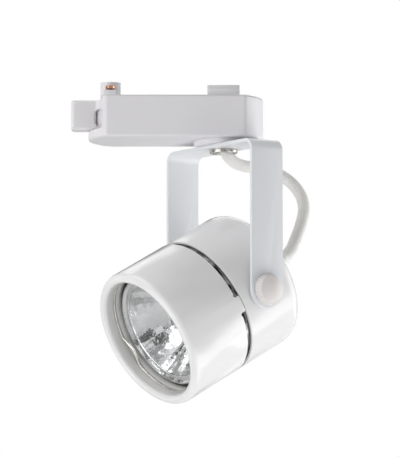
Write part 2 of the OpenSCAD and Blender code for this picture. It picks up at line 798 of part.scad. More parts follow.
module knob() {
    seat = outer_half + face_c;
    rotate([0, 90, 0]) difference() {
        union() {
            translate([0, 0, seat]) linear_extrude(knob_h - 0.7) difference() {
                circle(r = knob_r);
                for (i = [0:knob_grooves - 1]) rotate(360 * i / knob_grooves)
                    translate([knob_r + 0.25, 0]) circle(r = 0.5, $fn = 16);
            }
            translate([0, 0, seat + knob_h - 0.7 - eps])
                cylinder(r1 = knob_r - 0.5, r2 = knob_r - 1.3, h = 0.7 + eps);
        }
        translate([0, 0, seat - 1]) cylinder(r = stud_r + 0.02, h = 3.6);
    }
}

module stud() {
    rotate([0, 90, 0]) translate([0, 0, insert_seat - 3.5])
        cylinder(r = stud_r, h = outer_half + 2.4 - insert_seat + 3.5);
}

module near_knob() color("linen") { at_head() knob(); }

module near_stud() color("silver") { at_head() stud(); }

module far_knob() color("linen") { at_head() rotate([0, 0, 180]) knob(); }

module far_stud() color("silver") { at_head() rotate([0, 0, 180]) stud(); }

adapter_housing();
adapter_cover();
cover_screws();
guide_key();
terminal_block();
terminal_screws();
wiper_springs();
supply_leads();
friction_disc();
lock_lever();
contact_rotor();
slip_rings();
track_contacts();
yoke_bracket();
hollow_nipple();
stop_washer();
wave_washer();
nipple_nut();
cable();
rear_can();
coupling_sleeve();
sleeve_rivets();
front_bezel();
retaining_ring();
lamp_reflector();
lamp_lens();
lamp_capsule();
lamp_pins();
lamp_holder();
holder_bracket();
holder_screws();
cable_bush();
lamp_leads();
pivot_inserts();
tilt_washers();
near_knob();
near_stud();
far_knob();
far_stud();
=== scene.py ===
import bpy
import json
import math
import random
from mathutils import Matrix, Vector


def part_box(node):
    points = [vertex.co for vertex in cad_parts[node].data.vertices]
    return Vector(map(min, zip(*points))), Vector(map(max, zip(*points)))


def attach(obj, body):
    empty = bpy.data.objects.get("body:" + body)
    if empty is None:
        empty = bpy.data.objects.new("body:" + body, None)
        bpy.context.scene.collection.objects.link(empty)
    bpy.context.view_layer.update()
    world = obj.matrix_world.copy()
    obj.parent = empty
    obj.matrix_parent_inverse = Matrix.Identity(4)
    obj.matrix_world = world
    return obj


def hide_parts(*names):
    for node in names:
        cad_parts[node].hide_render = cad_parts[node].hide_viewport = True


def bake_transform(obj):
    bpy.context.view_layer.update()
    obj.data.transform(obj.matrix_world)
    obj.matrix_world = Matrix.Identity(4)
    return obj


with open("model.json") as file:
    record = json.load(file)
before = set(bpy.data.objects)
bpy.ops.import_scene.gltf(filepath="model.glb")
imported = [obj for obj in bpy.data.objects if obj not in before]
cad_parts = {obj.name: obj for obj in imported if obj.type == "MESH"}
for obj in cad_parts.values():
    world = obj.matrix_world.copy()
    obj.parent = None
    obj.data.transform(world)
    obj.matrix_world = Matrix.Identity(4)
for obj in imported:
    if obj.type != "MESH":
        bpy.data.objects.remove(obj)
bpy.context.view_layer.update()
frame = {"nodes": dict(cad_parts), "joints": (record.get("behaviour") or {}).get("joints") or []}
mm = 0.001

joints = {joint["name"]: joint for joint in frame["joints"]}
pivot = Vector(joints["tilt"]["pos_m"])      # middle of the head, on the tilt axis
acrossAxis = Vector(joints["tilt"]["axis"])  # towards the near knob
swivelTurn = math.atan2(acrossAxis.y, acrossAxis.x)
swivelX = joints["swivel"]["pos_m"][0]

look = {"location": (0.01049, -1.15, -0.16677), "lens": 209.7, "sensor": 36, "upwards": 5.5, "farthest": 50}

bpy.ops.object.select_all(action="DESELECT")
bpy.ops.object.camera_add(location=look["location"], rotation=(math.radians(90 + look["upwards"]), 0, 0))
camera = bpy.context.object
camera.data.lens = look["lens"]
camera.data.sensor_width = look["sensor"]
camera.data.clip_end = look["farthest"]
bpy.context.scene.camera = camera
bpy.context.scene.view_settings.view_transform = "Standard"
print("camera is set")


# a number that varies over a surface
class Level:
    def __init__(self, finish, socket):
        self.finish = finish
        self.socket = socket

    def maths(self, operation, first, second):
        return self.finish.add("ShaderNodeMath", {"operation": operation}, (first, second))

    def __add__(self, other):
        return self.maths("ADD", self, other)

    def __radd__(self, other):
        return self.maths("ADD", other, self)

    def __sub__(self, other):
        return self.maths("SUBTRACT", self, other)

    def __rsub__(self, other):
        return self.maths("SUBTRACT", other, self)

    def __mul__(self, other):
        return self.maths("MULTIPLY", self, other)

    def __rmul__(self, other):
        return self.maths("MULTIPLY", other, self)

    def __pow__(self, other):
        return self.maths("POWER", self, other)

    def __rpow__(self, other):
        return self.maths("POWER", other, self)


# a material whose nodes are added one by one
class Finish:
    def __init__(self, name, world=None):
        self.material = world or bpy.data.materials.new(name)
        self.material.use_nodes = True
        self.tree = self.material.node_tree
        self.tree.nodes.clear()
        self.place = self.add("ShaderNodeTexCoord", {}, {}, "Object")

    def add(self, kind, settings, sockets, output=0):
        node = self.tree.nodes.new(kind)
        for key, value in settings.items():
            setattr(node, key, value)
        pairs = sockets.items() if isinstance(sockets, dict) else enumerate(sockets)
        for key, value in pairs:
            if isinstance(value, Level):
                self.tree.links.new(value.socket, node.inputs[key])
            else:
                node.inputs[key].default_value = value
        return Level(self, node.outputs[output]) if node.outputs else None

    # even noise from 0 to 1; size is the width of its spots in metres
    def mottle(self, size, detail=2, stretch=(1, 1, 1)):
        where = self.place
        if stretch != (1, 1, 1):
            where = self.add("ShaderNodeMapping", {}, {"Vector": self.place, "Scale": stretch})
        return self.add("ShaderNodeTexNoise", {}, {"Vector": where, "Scale": 1 / size, "Detail": detail})

    # runs from 0 to 1 as the level goes from low to high
    def between(self, level, low, high):
        sockets = {"Value": level, "From Min": low, "From Max": high}
        return self.add("ShaderNodeMapRange", {"clamp": True}, sockets)

    # the Mix node's factor and colours are its sockets 0, 6 and 7, and its colour comes out of socket 2
    def blendColours(self, level, first, second):
        sockets = {0: level, 6: (*first, 1), 7: (*second, 1)}
        return self.add("ShaderNodeMix", {"data_type": "RGBA"}, sockets, 2)

    # depth is the height in metres of a bump whose level is 1
    def dents(self, height, depth):
        return self.add("ShaderNodeBump", {}, {"Height": height, "Distance": depth})

    def shader(self, **sockets):
        names = {key.replace("_", " "): value for key, value in sockets.items()}
        return self.add("ShaderNodeBsdfPrincipled", {}, names)

    def done(self, shader, kind="ShaderNodeOutputMaterial"):
        self.add(kind, {}, {"Surface": shader})
        return self.material


# sprayed or moulded white surface with an orange-peel skin, fine grain and slight tone changes
def whiteSurface(name, colour, toned, rough, peel, peelDepth, grain, grainDepth, coat=0.0):
    finish = Finish(name)
    wide = finish.mottle(0.03, 2)
    skin = finish.mottle(peel, 2)
    fine = finish.mottle(grain, 3)
    tone = finish.between(wide * 0.75 + fine * 0.25, 0.35, 0.65)
    base = finish.blendColours(tone, toned, colour)
    gloss = rough + (skin - 0.5) * 0.10 + (wide - 0.5) * 0.08
    height = skin * peelDepth + fine * grainDepth
    shader = finish.shader(Base_Color=base, Roughness=gloss, Normal=finish.dents(height, 1.0),
                           Coat_Weight=coat, Coat_Roughness=0.08, IOR=1.5)
    return finish.done(shader)


# bare or plated metal; stretch draws the marks out along one axis
def metalSurface(name, colour, toned, rough, marks, markDepth, stretch=(1, 1, 1)):
    finish = Finish(name)
    wide = finish.mottle(0.004, 2)
    scratch = finish.mottle(marks, 3, stretch)
    base = finish.blendColours(finish.between(wide, 0.3, 0.7), toned, colour)
    gloss = rough + (scratch - 0.5) * 0.16 + (wide - 0.5) * 0.08
    normal = finish.dents(scratch, markDepth)
    shader = finish.shader(Base_Color=base, Roughness=gloss, Metallic=1.0, Normal=normal)
    return finish.done(shader)


def dullSurface(name, colour, toned, rough, grain, depth):
    finish = Finish(name)
    wide = finish.mottle(0.006, 3)
    fine = finish.mottle(grain, 4)
    base = finish.blendColours(finish.between(wide * 0.6 + fine * 0.4, 0.35, 0.65), toned, colour)
    gloss = rough + (fine - 0.5) * 0.2
    shader = finish.shader(Base_Color=base, Roughness=gloss, Normal=finish.dents(fine, depth))
    return finish.done(shader)


# clear sheet or bulb: see-through face on, shiny where it is seen edge on
def clearSurface(name, tint, least, most, rough, tilted=5):
    finish = Finish(name)
    smear = finish.mottle(0.006, 3)
    edge = finish.add("ShaderNodeLayerWeight", {}, {"Blend": 0.5}, "Facing")
    amount = edge ** tilted * (most - least) + least + (smear - 0.5) * 0.02
    gloss = finish.shader(Base_Color=(1, 1, 1, 1), Roughness=rough + smear * 0.05, Metallic=1.0)
    clear = finish.add("ShaderNodeBsdfTransparent", {}, {"Color": (*tint, 1)})
    mixed = finish.add("ShaderNodeMixShader", {}, {"Fac": amount, 1: clear, 2: gloss})
    return finish.done(mixed)


# facets of the reflector: bright aluminium behind clear glass, with a faint ripple
def mirrorSurface():
    finish = Finish("mirrorCoat")
    ripple = finish.mottle(0.0022, 2)
    base = finish.blendColours(finish.between(ripple, 0.3, 0.7), (0.92, 0.92, 0.93), (0.97, 0.97, 0.975))
    gloss = 0.05 + ripple * 0.05
    shader = finish.shader(Base_Color=base, Roughness=gloss, Metallic=1.0,
                           Normal=finish.dents(ripple, 0.00012))
    return finish.done(shader)


# glass-fibre braid: the weave's relief is in the mesh, its threads are in the bump, and its hollows carry
# painted shade in the base colour
def braidSurface():
    finish = Finish("glassBraidPaintedShade")
    threadsInRibbon = 5
    weave = finish.add("ShaderNodeUVMap", {"uv_map": "weave"}, {})
    around = finish.add("ShaderNodeSeparateXYZ", {}, {"Vector": weave}, "X")
    along = finish.add("ShaderNodeSeparateXYZ", {}, {"Vector": weave}, "Y")
    turn = (around + along) * (2 * math.pi * threadsInRibbon)
    threads = finish.add("ShaderNodeMath", {"operation": "SINE"}, (turn, 0))
    fuzz = finish.mottle(0.0006, 3)
    wide = finish.mottle(0.008, 2)
    relief = finish.add("ShaderNodeAttribute", {"attribute_name": "relief"}, {}, "Fac")
    # painted shade: the colour darkens where the ribbons lie low in the weave; the fuzz and wide mottle are
    # random tone
    tone = finish.between(relief * 0.8 + fuzz * 0.35 + wide * 0.15, 0.2, 0.95)
    base = finish.blendColours(tone, (0.66, 0.65, 0.62), (0.92, 0.91, 0.885))
    height = threads * 0.000012 + fuzz * 0.00006
    shader = finish.shader(Base_Color=base, Roughness=0.62 + (fuzz - 0.5) * 0.25,
                           Normal=finish.dents(height, 1.0), Sheen_Weight=0.2)
    return finish.done(shader)


adapterWhite = whiteSurface("adapterWhite", colour=(0.80, 0.79, 0.81), toned=(0.78, 0.765, 0.795),
                            rough=0.42, peel=0.0016, peelDepth=0.000012, grain=0.00035, grainDepth=0.000010)
leverWhite = whiteSurface("leverWhite", colour=(0.83, 0.81, 0.83), toned=(0.81, 0.79, 0.81), rough=0.36,
                          peel=0.0016, peelDepth=0.000010, grain=0.00035, grainDepth=0.000006)
coverWhite = whiteSurface("coverWhite", colour=(0.80, 0.80, 0.81), toned=(0.77, 0.77, 0.78), rough=0.5,
                          peel=0.0010, peelDepth=0.000015, grain=0.0003, grainDepth=0.000012)
yokeWhite = whiteSurface("yokeWhite", colour=(0.80, 0.82, 0.84), toned=(0.78, 0.80, 0.825), rough=0.34,
                         peel=0.0009, peelDepth=0.000018, grain=0.00025, grainDepth=0.000006)
headWhite = whiteSurface("headWhite", colour=(0.86, 0.855, 0.86), toned=(0.845, 0.84, 0.845), rough=0.22,
                         peel=0.0011, peelDepth=0.000010, grain=0.00022, grainDepth=0.000002, coat=0.35)
# painted shade: the bore's darker, warmer grey stands for the shade inside the recess; it also has no coat
boreWithPaintedShade = whiteSurface("lipInsidePaintedShade", colour=(0.80, 0.795, 0.78), toned=(0.74, 0.735, 0.72), rough=0.30,
                       peel=0.0010, peelDepth=0.00001, grain=0.0003, grainDepth=0.000006)
knobWhite = whiteSurface("knobWhite", colour=(0.80, 0.765, 0.75), toned=(0.77, 0.735, 0.72), rough=0.34,
                         peel=0.0013, peelDepth=0.000010, grain=0.0003, grainDepth=0.000008)
nylon = dullSurface("nylon", colour=(0.85, 0.85, 0.83), toned=(0.80, 0.80, 0.78), rough=0.45, grain=0.0004,
                    depth=0.00001)
ceramic = dullSurface("steatite", colour=(0.86, 0.84, 0.79), toned=(0.78, 0.76, 0.71), rough=0.62,
                      grain=0.0003, depth=0.00003)
ivory = dullSurface("ivoryPlastic", colour=(0.84, 0.81, 0.72), toned=(0.79, 0.76, 0.67), rough=0.48,
                    grain=0.0004, depth=0.00001)
rotorWhite = dullSurface("rotorPlastic", colour=(0.80, 0.79, 0.81), toned=(0.76, 0.75, 0.77), rough=0.5,
                         grain=0.0003, depth=0.00001)
leadRed = dullSurface("siliconeLead", colour=(0.55, 0.05, 0.04), toned=(0.46, 0.04, 0.035), rough=0.5,
                      grain=0.0003, depth=0.00001)
# painted dark reflections and shade: the dark mottled patches of the plating stand for what the nut mirrors
# under the yoke plate
nickel = metalSurface("nickelPlatePaintedDark", colour=(0.66, 0.63, 0.59), toned=(0.40, 0.38, 0.35), rough=0.13,
                      marks=0.0006, markDepth=0.00003, stretch=(0.3, 0.3, 3))
zinc = metalSurface("zincPlate", colour=(0.70, 0.70, 0.70), toned=(0.58, 0.58, 0.60), rough=0.32,
                    marks=0.0005, markDepth=0.00003)
brass = metalSurface("plainBrass", colour=(0.78, 0.58, 0.24), toned=(0.66, 0.47, 0.18), rough=0.25,
                     marks=0.0006, markDepth=0.00002)
bronze = metalSurface("springBronze", colour=(0.75, 0.42, 0.25), toned=(0.62, 0.33, 0.18), rough=0.3,
                      marks=0.0006, markDepth=0.00002)
# painted shade: the near-black patches of the sleeve stand for the shade and dark reflections in the gap
# between can and bezel
steelPaintedDark = metalSurface("steelPaintedDark", colour=(0.46, 0.45, 0.43), toned=(0.04, 0.04, 0.037), rough=0.10,
                           marks=0.005, markDepth=0.00002)
springWire = metalSurface("springWire", colour=(0.93, 0.91, 0.87), toned=(0.74, 0.72, 0.68), rough=0.22,
                          marks=0.0006, markDepth=0.00002)
mirror = mirrorSurface()
braid = braidSurface()
frontGlass = clearSurface("frontGlass", tint=(0.975, 0.98, 0.98), least=0.03, most=0.6, rough=0.02)
bulbGlass = clearSurface("bulbGlass", tint=(0.64, 0.65, 0.67), least=0.03, most=0.4, rough=0.04, tilted=3)
bushClear = dullSurface("bushSilicone", colour=(0.88, 0.88, 0.86), toned=(0.82, 0.82, 0.80), rough=0.35,
                        grain=0.0005, depth=0.00001)
print("finishes are mixed")


def pick(*pieces):
    bpy.ops.object.select_all(action="DESELECT")
    for piece in pieces:
        piece.select_set(True)
    bpy.context.view_layer.objects.active = pieces[0]


def editing(piece):
    pick(piece)
    bpy.ops.object.mode_set(mode="EDIT")
    bpy.ops.mesh.select_all(action="SELECT")


def finished():
    bpy.ops.object.mode_set(mode="OBJECT")


def smooth(piece, sharpest=35):
    pick(piece)
    bpy.ops.object.shade_smooth_by_angle(angle=math.radians(sharpest))


def easeEdges(piece, width, segments=2, sharpest=30):
    pick(piece)
    bpy.ops.object.modifier_add(type="BEVEL")
    bevel = piece.modifiers[-1]
    bevel.width = width
    bevel.segments = segments
    bevel.limit_method = "ANGLE"
    bevel.angle_limit = math.radians(sharpest)
    bpy.ops.object.modifier_apply(modifier=bevel.name)


# rounds only those sharp edges whose two ends pass the test chosen(one, other)
def easeChosen(piece, width, segments, chosen):
    editing(piece)
    bpy.ops.mesh.select_mode(type="EDGE")
    bpy.ops.mesh.select_all(action="DESELECT")
    bpy.ops.mesh.edges_select_sharp(sharpness=math.radians(30))
    finished()
    points = piece.data.vertices
    wanted = [edge.select and chosen(*[points[i].co for i in edge.vertices]) for edge in piece.data.edges]
    for point in points:
        point.select = False
    for edge, keep in zip(piece.data.edges, wanted):
        edge.select = keep
        if keep:
            for i in edge.vertices:
                points[i].select = True
    bpy.ops.object.mode_set(mode="EDIT")
    bpy.ops.mesh.bevel(offset=width, segments=segments, affect="EDGES")
    bpy.ops.mesh.select_mode(type="VERT")
    finished()


def arc(radius, height, size, fromAngle, toAngle, parts):
    angles = [math.radians(fromAngle + (toAngle - fromAngle) * i / parts) for i in range(parts + 1)]
    return [(radius + size * math.cos(a), height + size * math.sin(a)) for a in angles]


# a half section of (radius, height) stations in millimetres, spun round Z
def turned(name, stations, steps=96, sharpest=35, closed=True):
    bpy.ops.object.select_all(action="DESELECT")
    bpy.ops.mesh.primitive_plane_add(size=mm, location=(0, 0, 0))
    piece = bpy.context.object
    piece.name = piece.data.name = name
    bpy.ops.object.mode_set(mode="EDIT")
    bpy.ops.mesh.select_all(action="SELECT")
    bpy.ops.mesh.merge(type="CENTER")
    places = [Vector((radius * mm, 0, height * mm)) for radius, height in stations]
    bpy.ops.transform.translate(value=places[0])
    loop = places[1:] + [places[0]] if closed else places[1:]
    for start, end in zip(places, loop):
        bpy.ops.mesh.extrude_region_move(TRANSFORM_OT_translate={"value": end - start})
    bpy.ops.mesh.select_all(action="SELECT")
    bpy.ops.mesh.remove_doubles(threshold=0.001 * mm)
    bpy.ops.mesh.select_all(action="SELECT")
    bpy.ops.mesh.spin(steps=steps, angle=2 * math.pi, center=(0, 0, 0), axis=(0, 0, 1))
    bpy.ops.mesh.select_all(action="SELECT")
    bpy.ops.mesh.remove_doubles(threshold=0.001 * mm)
    bpy.ops.mesh.normals_make_consistent(inside=False)
    bpy.ops.object.mode_set(mode="OBJECT")
    if sharpest:
        smooth(piece, sharpest)
    return piece


# copy of a CAD node's mesh, welded, with its flat faces whole again and its edges eased
def eased(name, node, width, segments=2, sharpest=30):
    piece = bpy.data.objects.new(name, frame["nodes"][node].data.copy())
    bpy.context.scene.collection.objects.link(piece)
    pick(piece)
    bpy.ops.mesh.customdata_custom_splitnormals_clear()
    editing(piece)
    bpy.ops.mesh.remove_doubles(threshold=0.002 * mm)
    bpy.ops.mesh.dissolve_limited(angle_limit=math.radians(0.5))
    finished()
    if width:
        easeEdges(piece, width, segments, sharpest)
    smooth(piece)
    return piece


def moveTo(piece, place):
    pick(piece)
    piece.matrix_world = place
    bpy.ops.object.transform_apply(location=True, rotation=True, scale=True)
    return piece


def copied(piece, name):
    twin = bpy.data.objects.new(name, piece.data.copy())
    bpy.context.scene.collection.objects.link(twin)
    return twin


# round wire of that radius along the points, all in metres
def bentWire(name, points, radius, sides):
    line = bpy.data.curves.new(name, "CURVE")
    line.dimensions = "3D"
    spline = line.splines.new("POLY")
    spline.points.add(len(points) - 1)
    for knot, point in zip(spline.points, points):
        knot.co = (*point, 1)
    line.bevel_depth = radius
    line.bevel_resolution = sides
    line.use_fill_caps = True
    wire = bpy.data.objects.new(name, line)
    bpy.context.scene.collection.objects.link(wire)
    pick(wire)
    bpy.ops.object.convert(target="MESH")
    return bpy.context.object


def fitted(piece, body, finish, slot, *nodes):
    piece.data.materials.clear()
    piece.data.materials.append(finish)
    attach(piece, body)
    if nodes:
        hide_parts(*nodes)
    return piece


def recoat(finish, *nodes):
    for node in nodes:
        for holder in frame["nodes"][node].material_slots:
            holder.material = finish


headTilt = 28.5  # beam below level, in degrees
headPlace = (Matrix.Translation(pivot) @ Matrix.Rotation(swivelTurn, 4, "Z")
             @ Matrix.Rotation(math.radians(90 + headTilt), 4, "X"))
yokePlace = Matrix.Translation((swivelX, 0, 0)) @ Matrix.Rotation(swivelTurn, 4, "Z")


cableFacts = {
    "diameter": 0.0052, "length": 0.0982,
    "rings": 22, "sides": 78,    # rings between two places of the route, and points round each
    "carriers": 13,       # ribbons of the braid each way round
    "lay": 0.0050,        # length of one crossing of the ribbons
    "relief": 0.00017,    # how far a ribbon stands out of the one below
    "mean": 0.8,          # height of the weave that lies at the diameter
    "rideFrom": 4,        # a place of the route, counted from its start
    "route": [
        (20.7, 0, -10), (20.7, 0, -14), (20.7, 0, -17.5), (20.9, 0.1, -20), (21.7, 0.6, -22.5),
        (23.4, 1.7, -25), (26.1, 3.5, -27), (29.6, 5.9, -28), (33.7, 8.5, -28.3),
        (38, 10.8, -28.7), (42.3, 12.4, -29.8), (46.4, 13.2, -31.6), (50.1, 13.2, -34.2),
        (53.1, 12.6, -37.6), (55.2, 11.6, -41.6), (56, 10.3, -46.2), (55.4, 8.7, -50.6),
        (54.2, 6.8, -54.8), (52.7, 4.6, -58.8), (51.3, 2.3, -62.3), (49.9, 0, -65.3),
        (48.2, -1.8, -67.6), (45.8, -3.7, -69.6), (43.4, -5.4, -71.3), (41, -6.9, -72.8),
    ],
}


# smooth line through the points, with that many parts between two of them
def alongRoute(points, parts):
    line = []
    last = len(points) - 1
    for i in range(last):
        a, b = points[max(i - 1, 0)], points[i]
        c, d = points[i + 1], points[min(i + 2, last)]
        for k in range(parts):
            t = k / parts
            line.append(0.5 * (2 * b + t * (c - a) + t * t * (2 * a - 5 * b + 4 * c - d)
                               + t ** 3 * (3 * b - a - 3 * c + d)))
    return line + [points[last]]


# height of the braid at one place: two sets of flat ribbons that pass over and under in turn
def weaveHeight(around, along):
    first, second = around + along, around - along
    over = (math.floor(first) + math.floor(second)) % 2
    across = (first if over else second) % 1
    down = (second if over else first) % 1
    ribbon = math.sin(math.pi * across) ** 0.6
    return ribbon * (0.55 + 0.45 * math.sin(math.pi * down))


def braidedCable(facts):
    line = alongRoute([Vector(point) * mm for point in facts["route"]], facts["rings"])
    sides, carriers, travelled, side = facts["sides"], facts["carriers"], 0.0, Vector((1, 0, 0))
    points, shades, heights = [], [], []
    for i, here in enumerate(line):
        heading = (line[min(i + 1, len(line) - 1)] - line[max(i - 1, 0)]).normalized()
        side = (side - side.dot(heading) * heading).normalized()
        other = heading.cross(side)
        travelled += (here - line[i - 1]).length if i else 0
        along = travelled / facts["lay"] * 4
        for k in range(sides):
            turn, around = 2 * math.pi * k / sides, carriers * k / sides
            height = weaveHeight(around, along)
            radius = facts["diameter"] / 2 - facts["relief"] * (facts["mean"] - height)
            points.append(here + radius * (math.cos(turn) * side + math.sin(turn) * other))
            heights.append(height)
            shades.append((around, along))
    skin = []
    for i in range(len(line) - 1):
        for k in range(sides):
            j = (k + 1) % sides
            skin.append((i * sides + k, i * sides + j, (i + 1) * sides + j, (i + 1) * sides + k))
    skin.append(tuple(range(sides - 1, -1, -1)))
    skin.append(tuple((len(line) - 1) * sides + k for k in range(sides)))
    mesh = bpy.data.meshes.new("braidedCable")
    mesh.from_pydata(points, [], skin)
    mesh.attributes.new("relief", "FLOAT", "POINT").data.foreach_set("value", heights)
    weave = mesh.uv_layers.new(name="weave")
    for face in mesh.polygons:
        wraps = len(face.vertices) == 4 and face.index % sides == sides - 1
        for corner in face.loop_indices:
            vertex = mesh.loops[corner].vertex_index
            u, v = shades[vertex]
            if wraps and vertex % sides == 0:
                u += carriers
            weave.data[corner].uv = (u, v)
    cable = bpy.data.objects.new("braidedCable", mesh)
    bpy.context.scene.collection.objects.link(cable)
    smooth(cable, 60)
    cable.data.materials.append(braid)
    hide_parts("cable")
    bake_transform(cable)
    return cable


braidedCable(cableFacts)
print("cable is braided")


adapterFacts = {
    "rounding": 0.9, "edge": 0.2, "coverEdge": 0.15, "keyEdge": 0.3,
    "swivelReach": 8,     # edges nearer than this to the swivel belong to its bore
    "stopReach": 11.5,    # the same for the stop inside, which has to stay clear of its washer
}


def adapter(facts):
    shell = eased("adapterShell", "adapter_housing", 0)
    low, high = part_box("adapter_housing")
    tiny = 0.01 * mm

    def fromSwivel(end):
        return math.hypot(end.x - swivelX, end.y)

    # the bottom edge of the outline and its four upright corners
    def outline(one, other):
        bottom = max(one.z, other.z) < low.z + tiny
        clear = min(fromSwivel(one), fromSwivel(other)) > facts["swivelReach"] * mm
        upright = (one.xy - other.xy).length < tiny and abs(abs(one.y) - high.y) < tiny
        return bottom and clear or upright

    def besidesStop(one, other):
        reach = max(fromSwivel(one), fromSwivel(other))
        return reach > facts["stopReach"] * mm or max(one.z, other.z) < low.z + 0.5 * mm

    easeChosen(shell, facts["rounding"] * mm, 4, outline)
    easeChosen(shell, facts["edge"] * mm, 2, besidesStop)
    smooth(shell)
    fitted(shell, "adapter", adapterWhite, "adapter_white", "adapter_housing")
    cover = eased("adapterCover", "adapter_cover", facts["coverEdge"] * mm)
    fitted(cover, "adapter", coverWhite, "cover_white", "adapter_cover")
    key = eased("guideKey", "guide_key", facts["keyEdge"] * mm)
    fitted(key, "adapter", coverWhite, "cover_white", "guide_key")
    screws = eased("coverScrews", "cover_screws", 0)
    fitted(screws, "adapter", zinc, "zinc_steel", "cover_screws")
    recoat(ivory, "terminal_block")
    recoat(brass, "terminal_screws", "slip_rings")
    recoat(bronze, "wiper_springs", "track_contacts")
    recoat(leadRed, "supply_leads", "lamp_leads")


discFacts = {"radius": 13, "thickness": 2, "bore": 5.05, "top": -18, "rounding": 0.5, "chamfer": 0.15}


def frictionDisc(facts):
    outer, top, low = facts["radius"], facts["top"], facts["top"] - facts["thickness"]
    rounding, chamfer = facts["rounding"], facts["chamfer"]
    stations = [(facts["bore"], top), (outer - chamfer, top), (outer, top - chamfer)]
    stations += arc(outer - rounding, low + rounding, rounding, 0, -90, 5)
    stations += [(facts["bore"], low)]
    disc = moveTo(turned("frictionDisc", stations), Matrix.Translation((swivelX, 0, 0)))
    fitted(disc, "adapter", adapterWhite, "adapter_white", "friction_disc")


leverFacts = {
    "rounding": 1.0, "edge": 0.25, "rotorEdge": 0.2,
    "roundedTo": -33.5,   # the arm's level edges are rounded widely as far in as this
}


def lever(facts):
    def armEdge(one, other):
        return max(one.x, other.x) < facts["roundedTo"] * mm and abs(one.z - other.z) < 0.01 * mm

    arm = eased("lockingLever", "lock_lever", 0)
    easeChosen(arm, facts["rounding"] * mm, 4, armEdge)
    easeEdges(arm, facts["edge"] * mm, 2, 40)
    smooth(arm)
    fitted(arm, "lever", leverWhite, "lever_white", "lock_lever")
    rotor = eased("contactRotor", "contact_rotor", facts["rotorEdge"] * mm)
    fitted(rotor, "lever", rotorWhite, "rotor_white", "contact_rotor")


adapter(adapterFacts)
frictionDisc(discFacts)
lever(leverFacts)
print("adapter and lever are made")


nippleFacts = {"bore": 3.9, "thread": 5, "flange": 6.1, "seat": -21.6, "bottom": -23.4, "top": -10.25,
               "chamfer": 0.3, "rounding": 0.5, "mouth": 1.2}


def nipple(facts):
    bore, flange, seat, low = facts["bore"], facts["flange"], facts["seat"], facts["bottom"]
    thread, chamfer, top = facts["thread"], facts["chamfer"], facts["top"]
    rounding, mouth = facts["rounding"], facts["mouth"]
    stations = [(bore, top), (thread - chamfer, top), (thread, top - chamfer), (thread, seat)]
    stations += [(flange - 0.1, seat), (flange, seat - 0.1)]
    stations += arc(flange - rounding, low + rounding, rounding, 0, -90, 5)
    stations += arc(bore + mouth, low + mouth, mouth, -90, -180, 6)
    tube = moveTo(turned("hollowNipple", stations, 72), yokePlace)
    fitted(tube, "yoke", nickel, "nickel", "hollow_nipple")


yokeFacts = {"edge": 0.22, "washerEdge": 0.1}


def yoke(facts):
    strip = eased("yokeStrip", "yoke_bracket", facts["edge"] * mm, 3, 40)
    fitted(strip, "yoke", yokeWhite, "yoke_steel", "yoke_bracket")
    washers = {"stopWasher": "stop_washer", "waveWasher": "wave_washer", "nippleNut": "nipple_nut"}
    for name, node in washers.items():
        fitted(eased(name, node, facts["washerEdge"] * mm), "yoke", zinc, "zinc_steel", node)


nipple(nippleFacts)
yoke(yokeFacts)
print("yoke is bent")


canFacts = {"radius": 31, "wall": 1.2, "back": -18.3, "front": 12.5, "fillet": 6.5, "chamfer": 0.2,
            "padRadius": 6.5, "padFrom": 29.9, "padOut": 31.2, "padChamfer": 0.15}


def rearCan(facts):
    radius, wall, back, front = facts["radius"], facts["wall"], facts["back"], facts["front"]
    fillet, inner, chamfer = facts["fillet"], facts["fillet"] - facts["wall"], facts["chamfer"]
    stations = [(0, back)] + arc(radius - fillet, back + fillet, fillet, -90, 0, 12)
    stations += [(radius, front - chamfer), (radius - chamfer, front), (radius - wall + chamfer, front)]
    stations += [(radius - wall, front - chamfer)] + arc(radius - fillet, back + fillet, inner, 0, -90, 8)
    stations += [(0, back + wall)]
    can = moveTo(turned("rearCan", stations, 144, 35, closed=False), headPlace)
    fitted(can, "head", headWhite, "head_white", "rear_can")
    # round pads for the yoke's legs, one on each side
    pad, start, out = facts["padRadius"], facts["padFrom"], facts["padOut"]
    chamfer = facts["padChamfer"]
    stations = [(0, start), (pad, start), (pad, out - chamfer), (pad - chamfer, out), (0, out)]
    near = turned("pivotPadNear", stations, 64, 35, closed=False)
    far = copied(near, "pivotPadFar")
    for piece, turn in ((near, 90), (far, -90)):
        moveTo(piece, headPlace @ Matrix.Rotation(math.radians(turn), 4, "Y"))
        fitted(piece, "head", headWhite, "head_white")


sleeveFacts = {"radius": 29.7, "wall": 0.8, "back": 6, "front": 25.1, "chamfer": 0.2, "rivetEdge": 0.1}


def couplingSleeve(facts):
    outer, inner, chamfer = facts["radius"], facts["radius"] - facts["wall"], facts["chamfer"]
    back, front = facts["back"], facts["front"]
    stations = [(outer, back + chamfer), (outer, front - chamfer), (outer - chamfer, front),
                (inner, front), (inner, back), (outer - chamfer, back)]
    sleeve = moveTo(turned("couplingSleeve", stations, 144), headPlace)
    fitted(sleeve, "head", steelPaintedDark, "sleeve_steel", "coupling_sleeve")


def sleeveRivets(facts):
    rivets = eased("sleeveRivets", "sleeve_rivets", facts["rivetEdge"] * mm)
    fitted(rivets, "head", zinc, "zinc_steel", "sleeve_rivets")


bezelFacts = {"radius": 31, "wall": 1.2, "back": 15.11, "front": 45.4, "opening": 26.7, "lip": 3, "inside": 2,
              "tube": 1.3, "tubeBack": 35.4, "grooveBack": 38.6, "grooveFront": 40.0, "grooveDeep": 0.9,
              "shoulder": 40.4, "steps": 216, "edge": 0.12,
              "tabHalf": 6.67, "tabReach": 2.15,    # half the width of a tab in degrees, and its length
              "notch": 8.34, "notchDeep": 0.5,      # place of the reliefs beside it in degrees
              "bareAndShadedFrom": 1.6}                     # behind this depth the bore is bare of gloss and takes a darker grey, painted shade of the recess
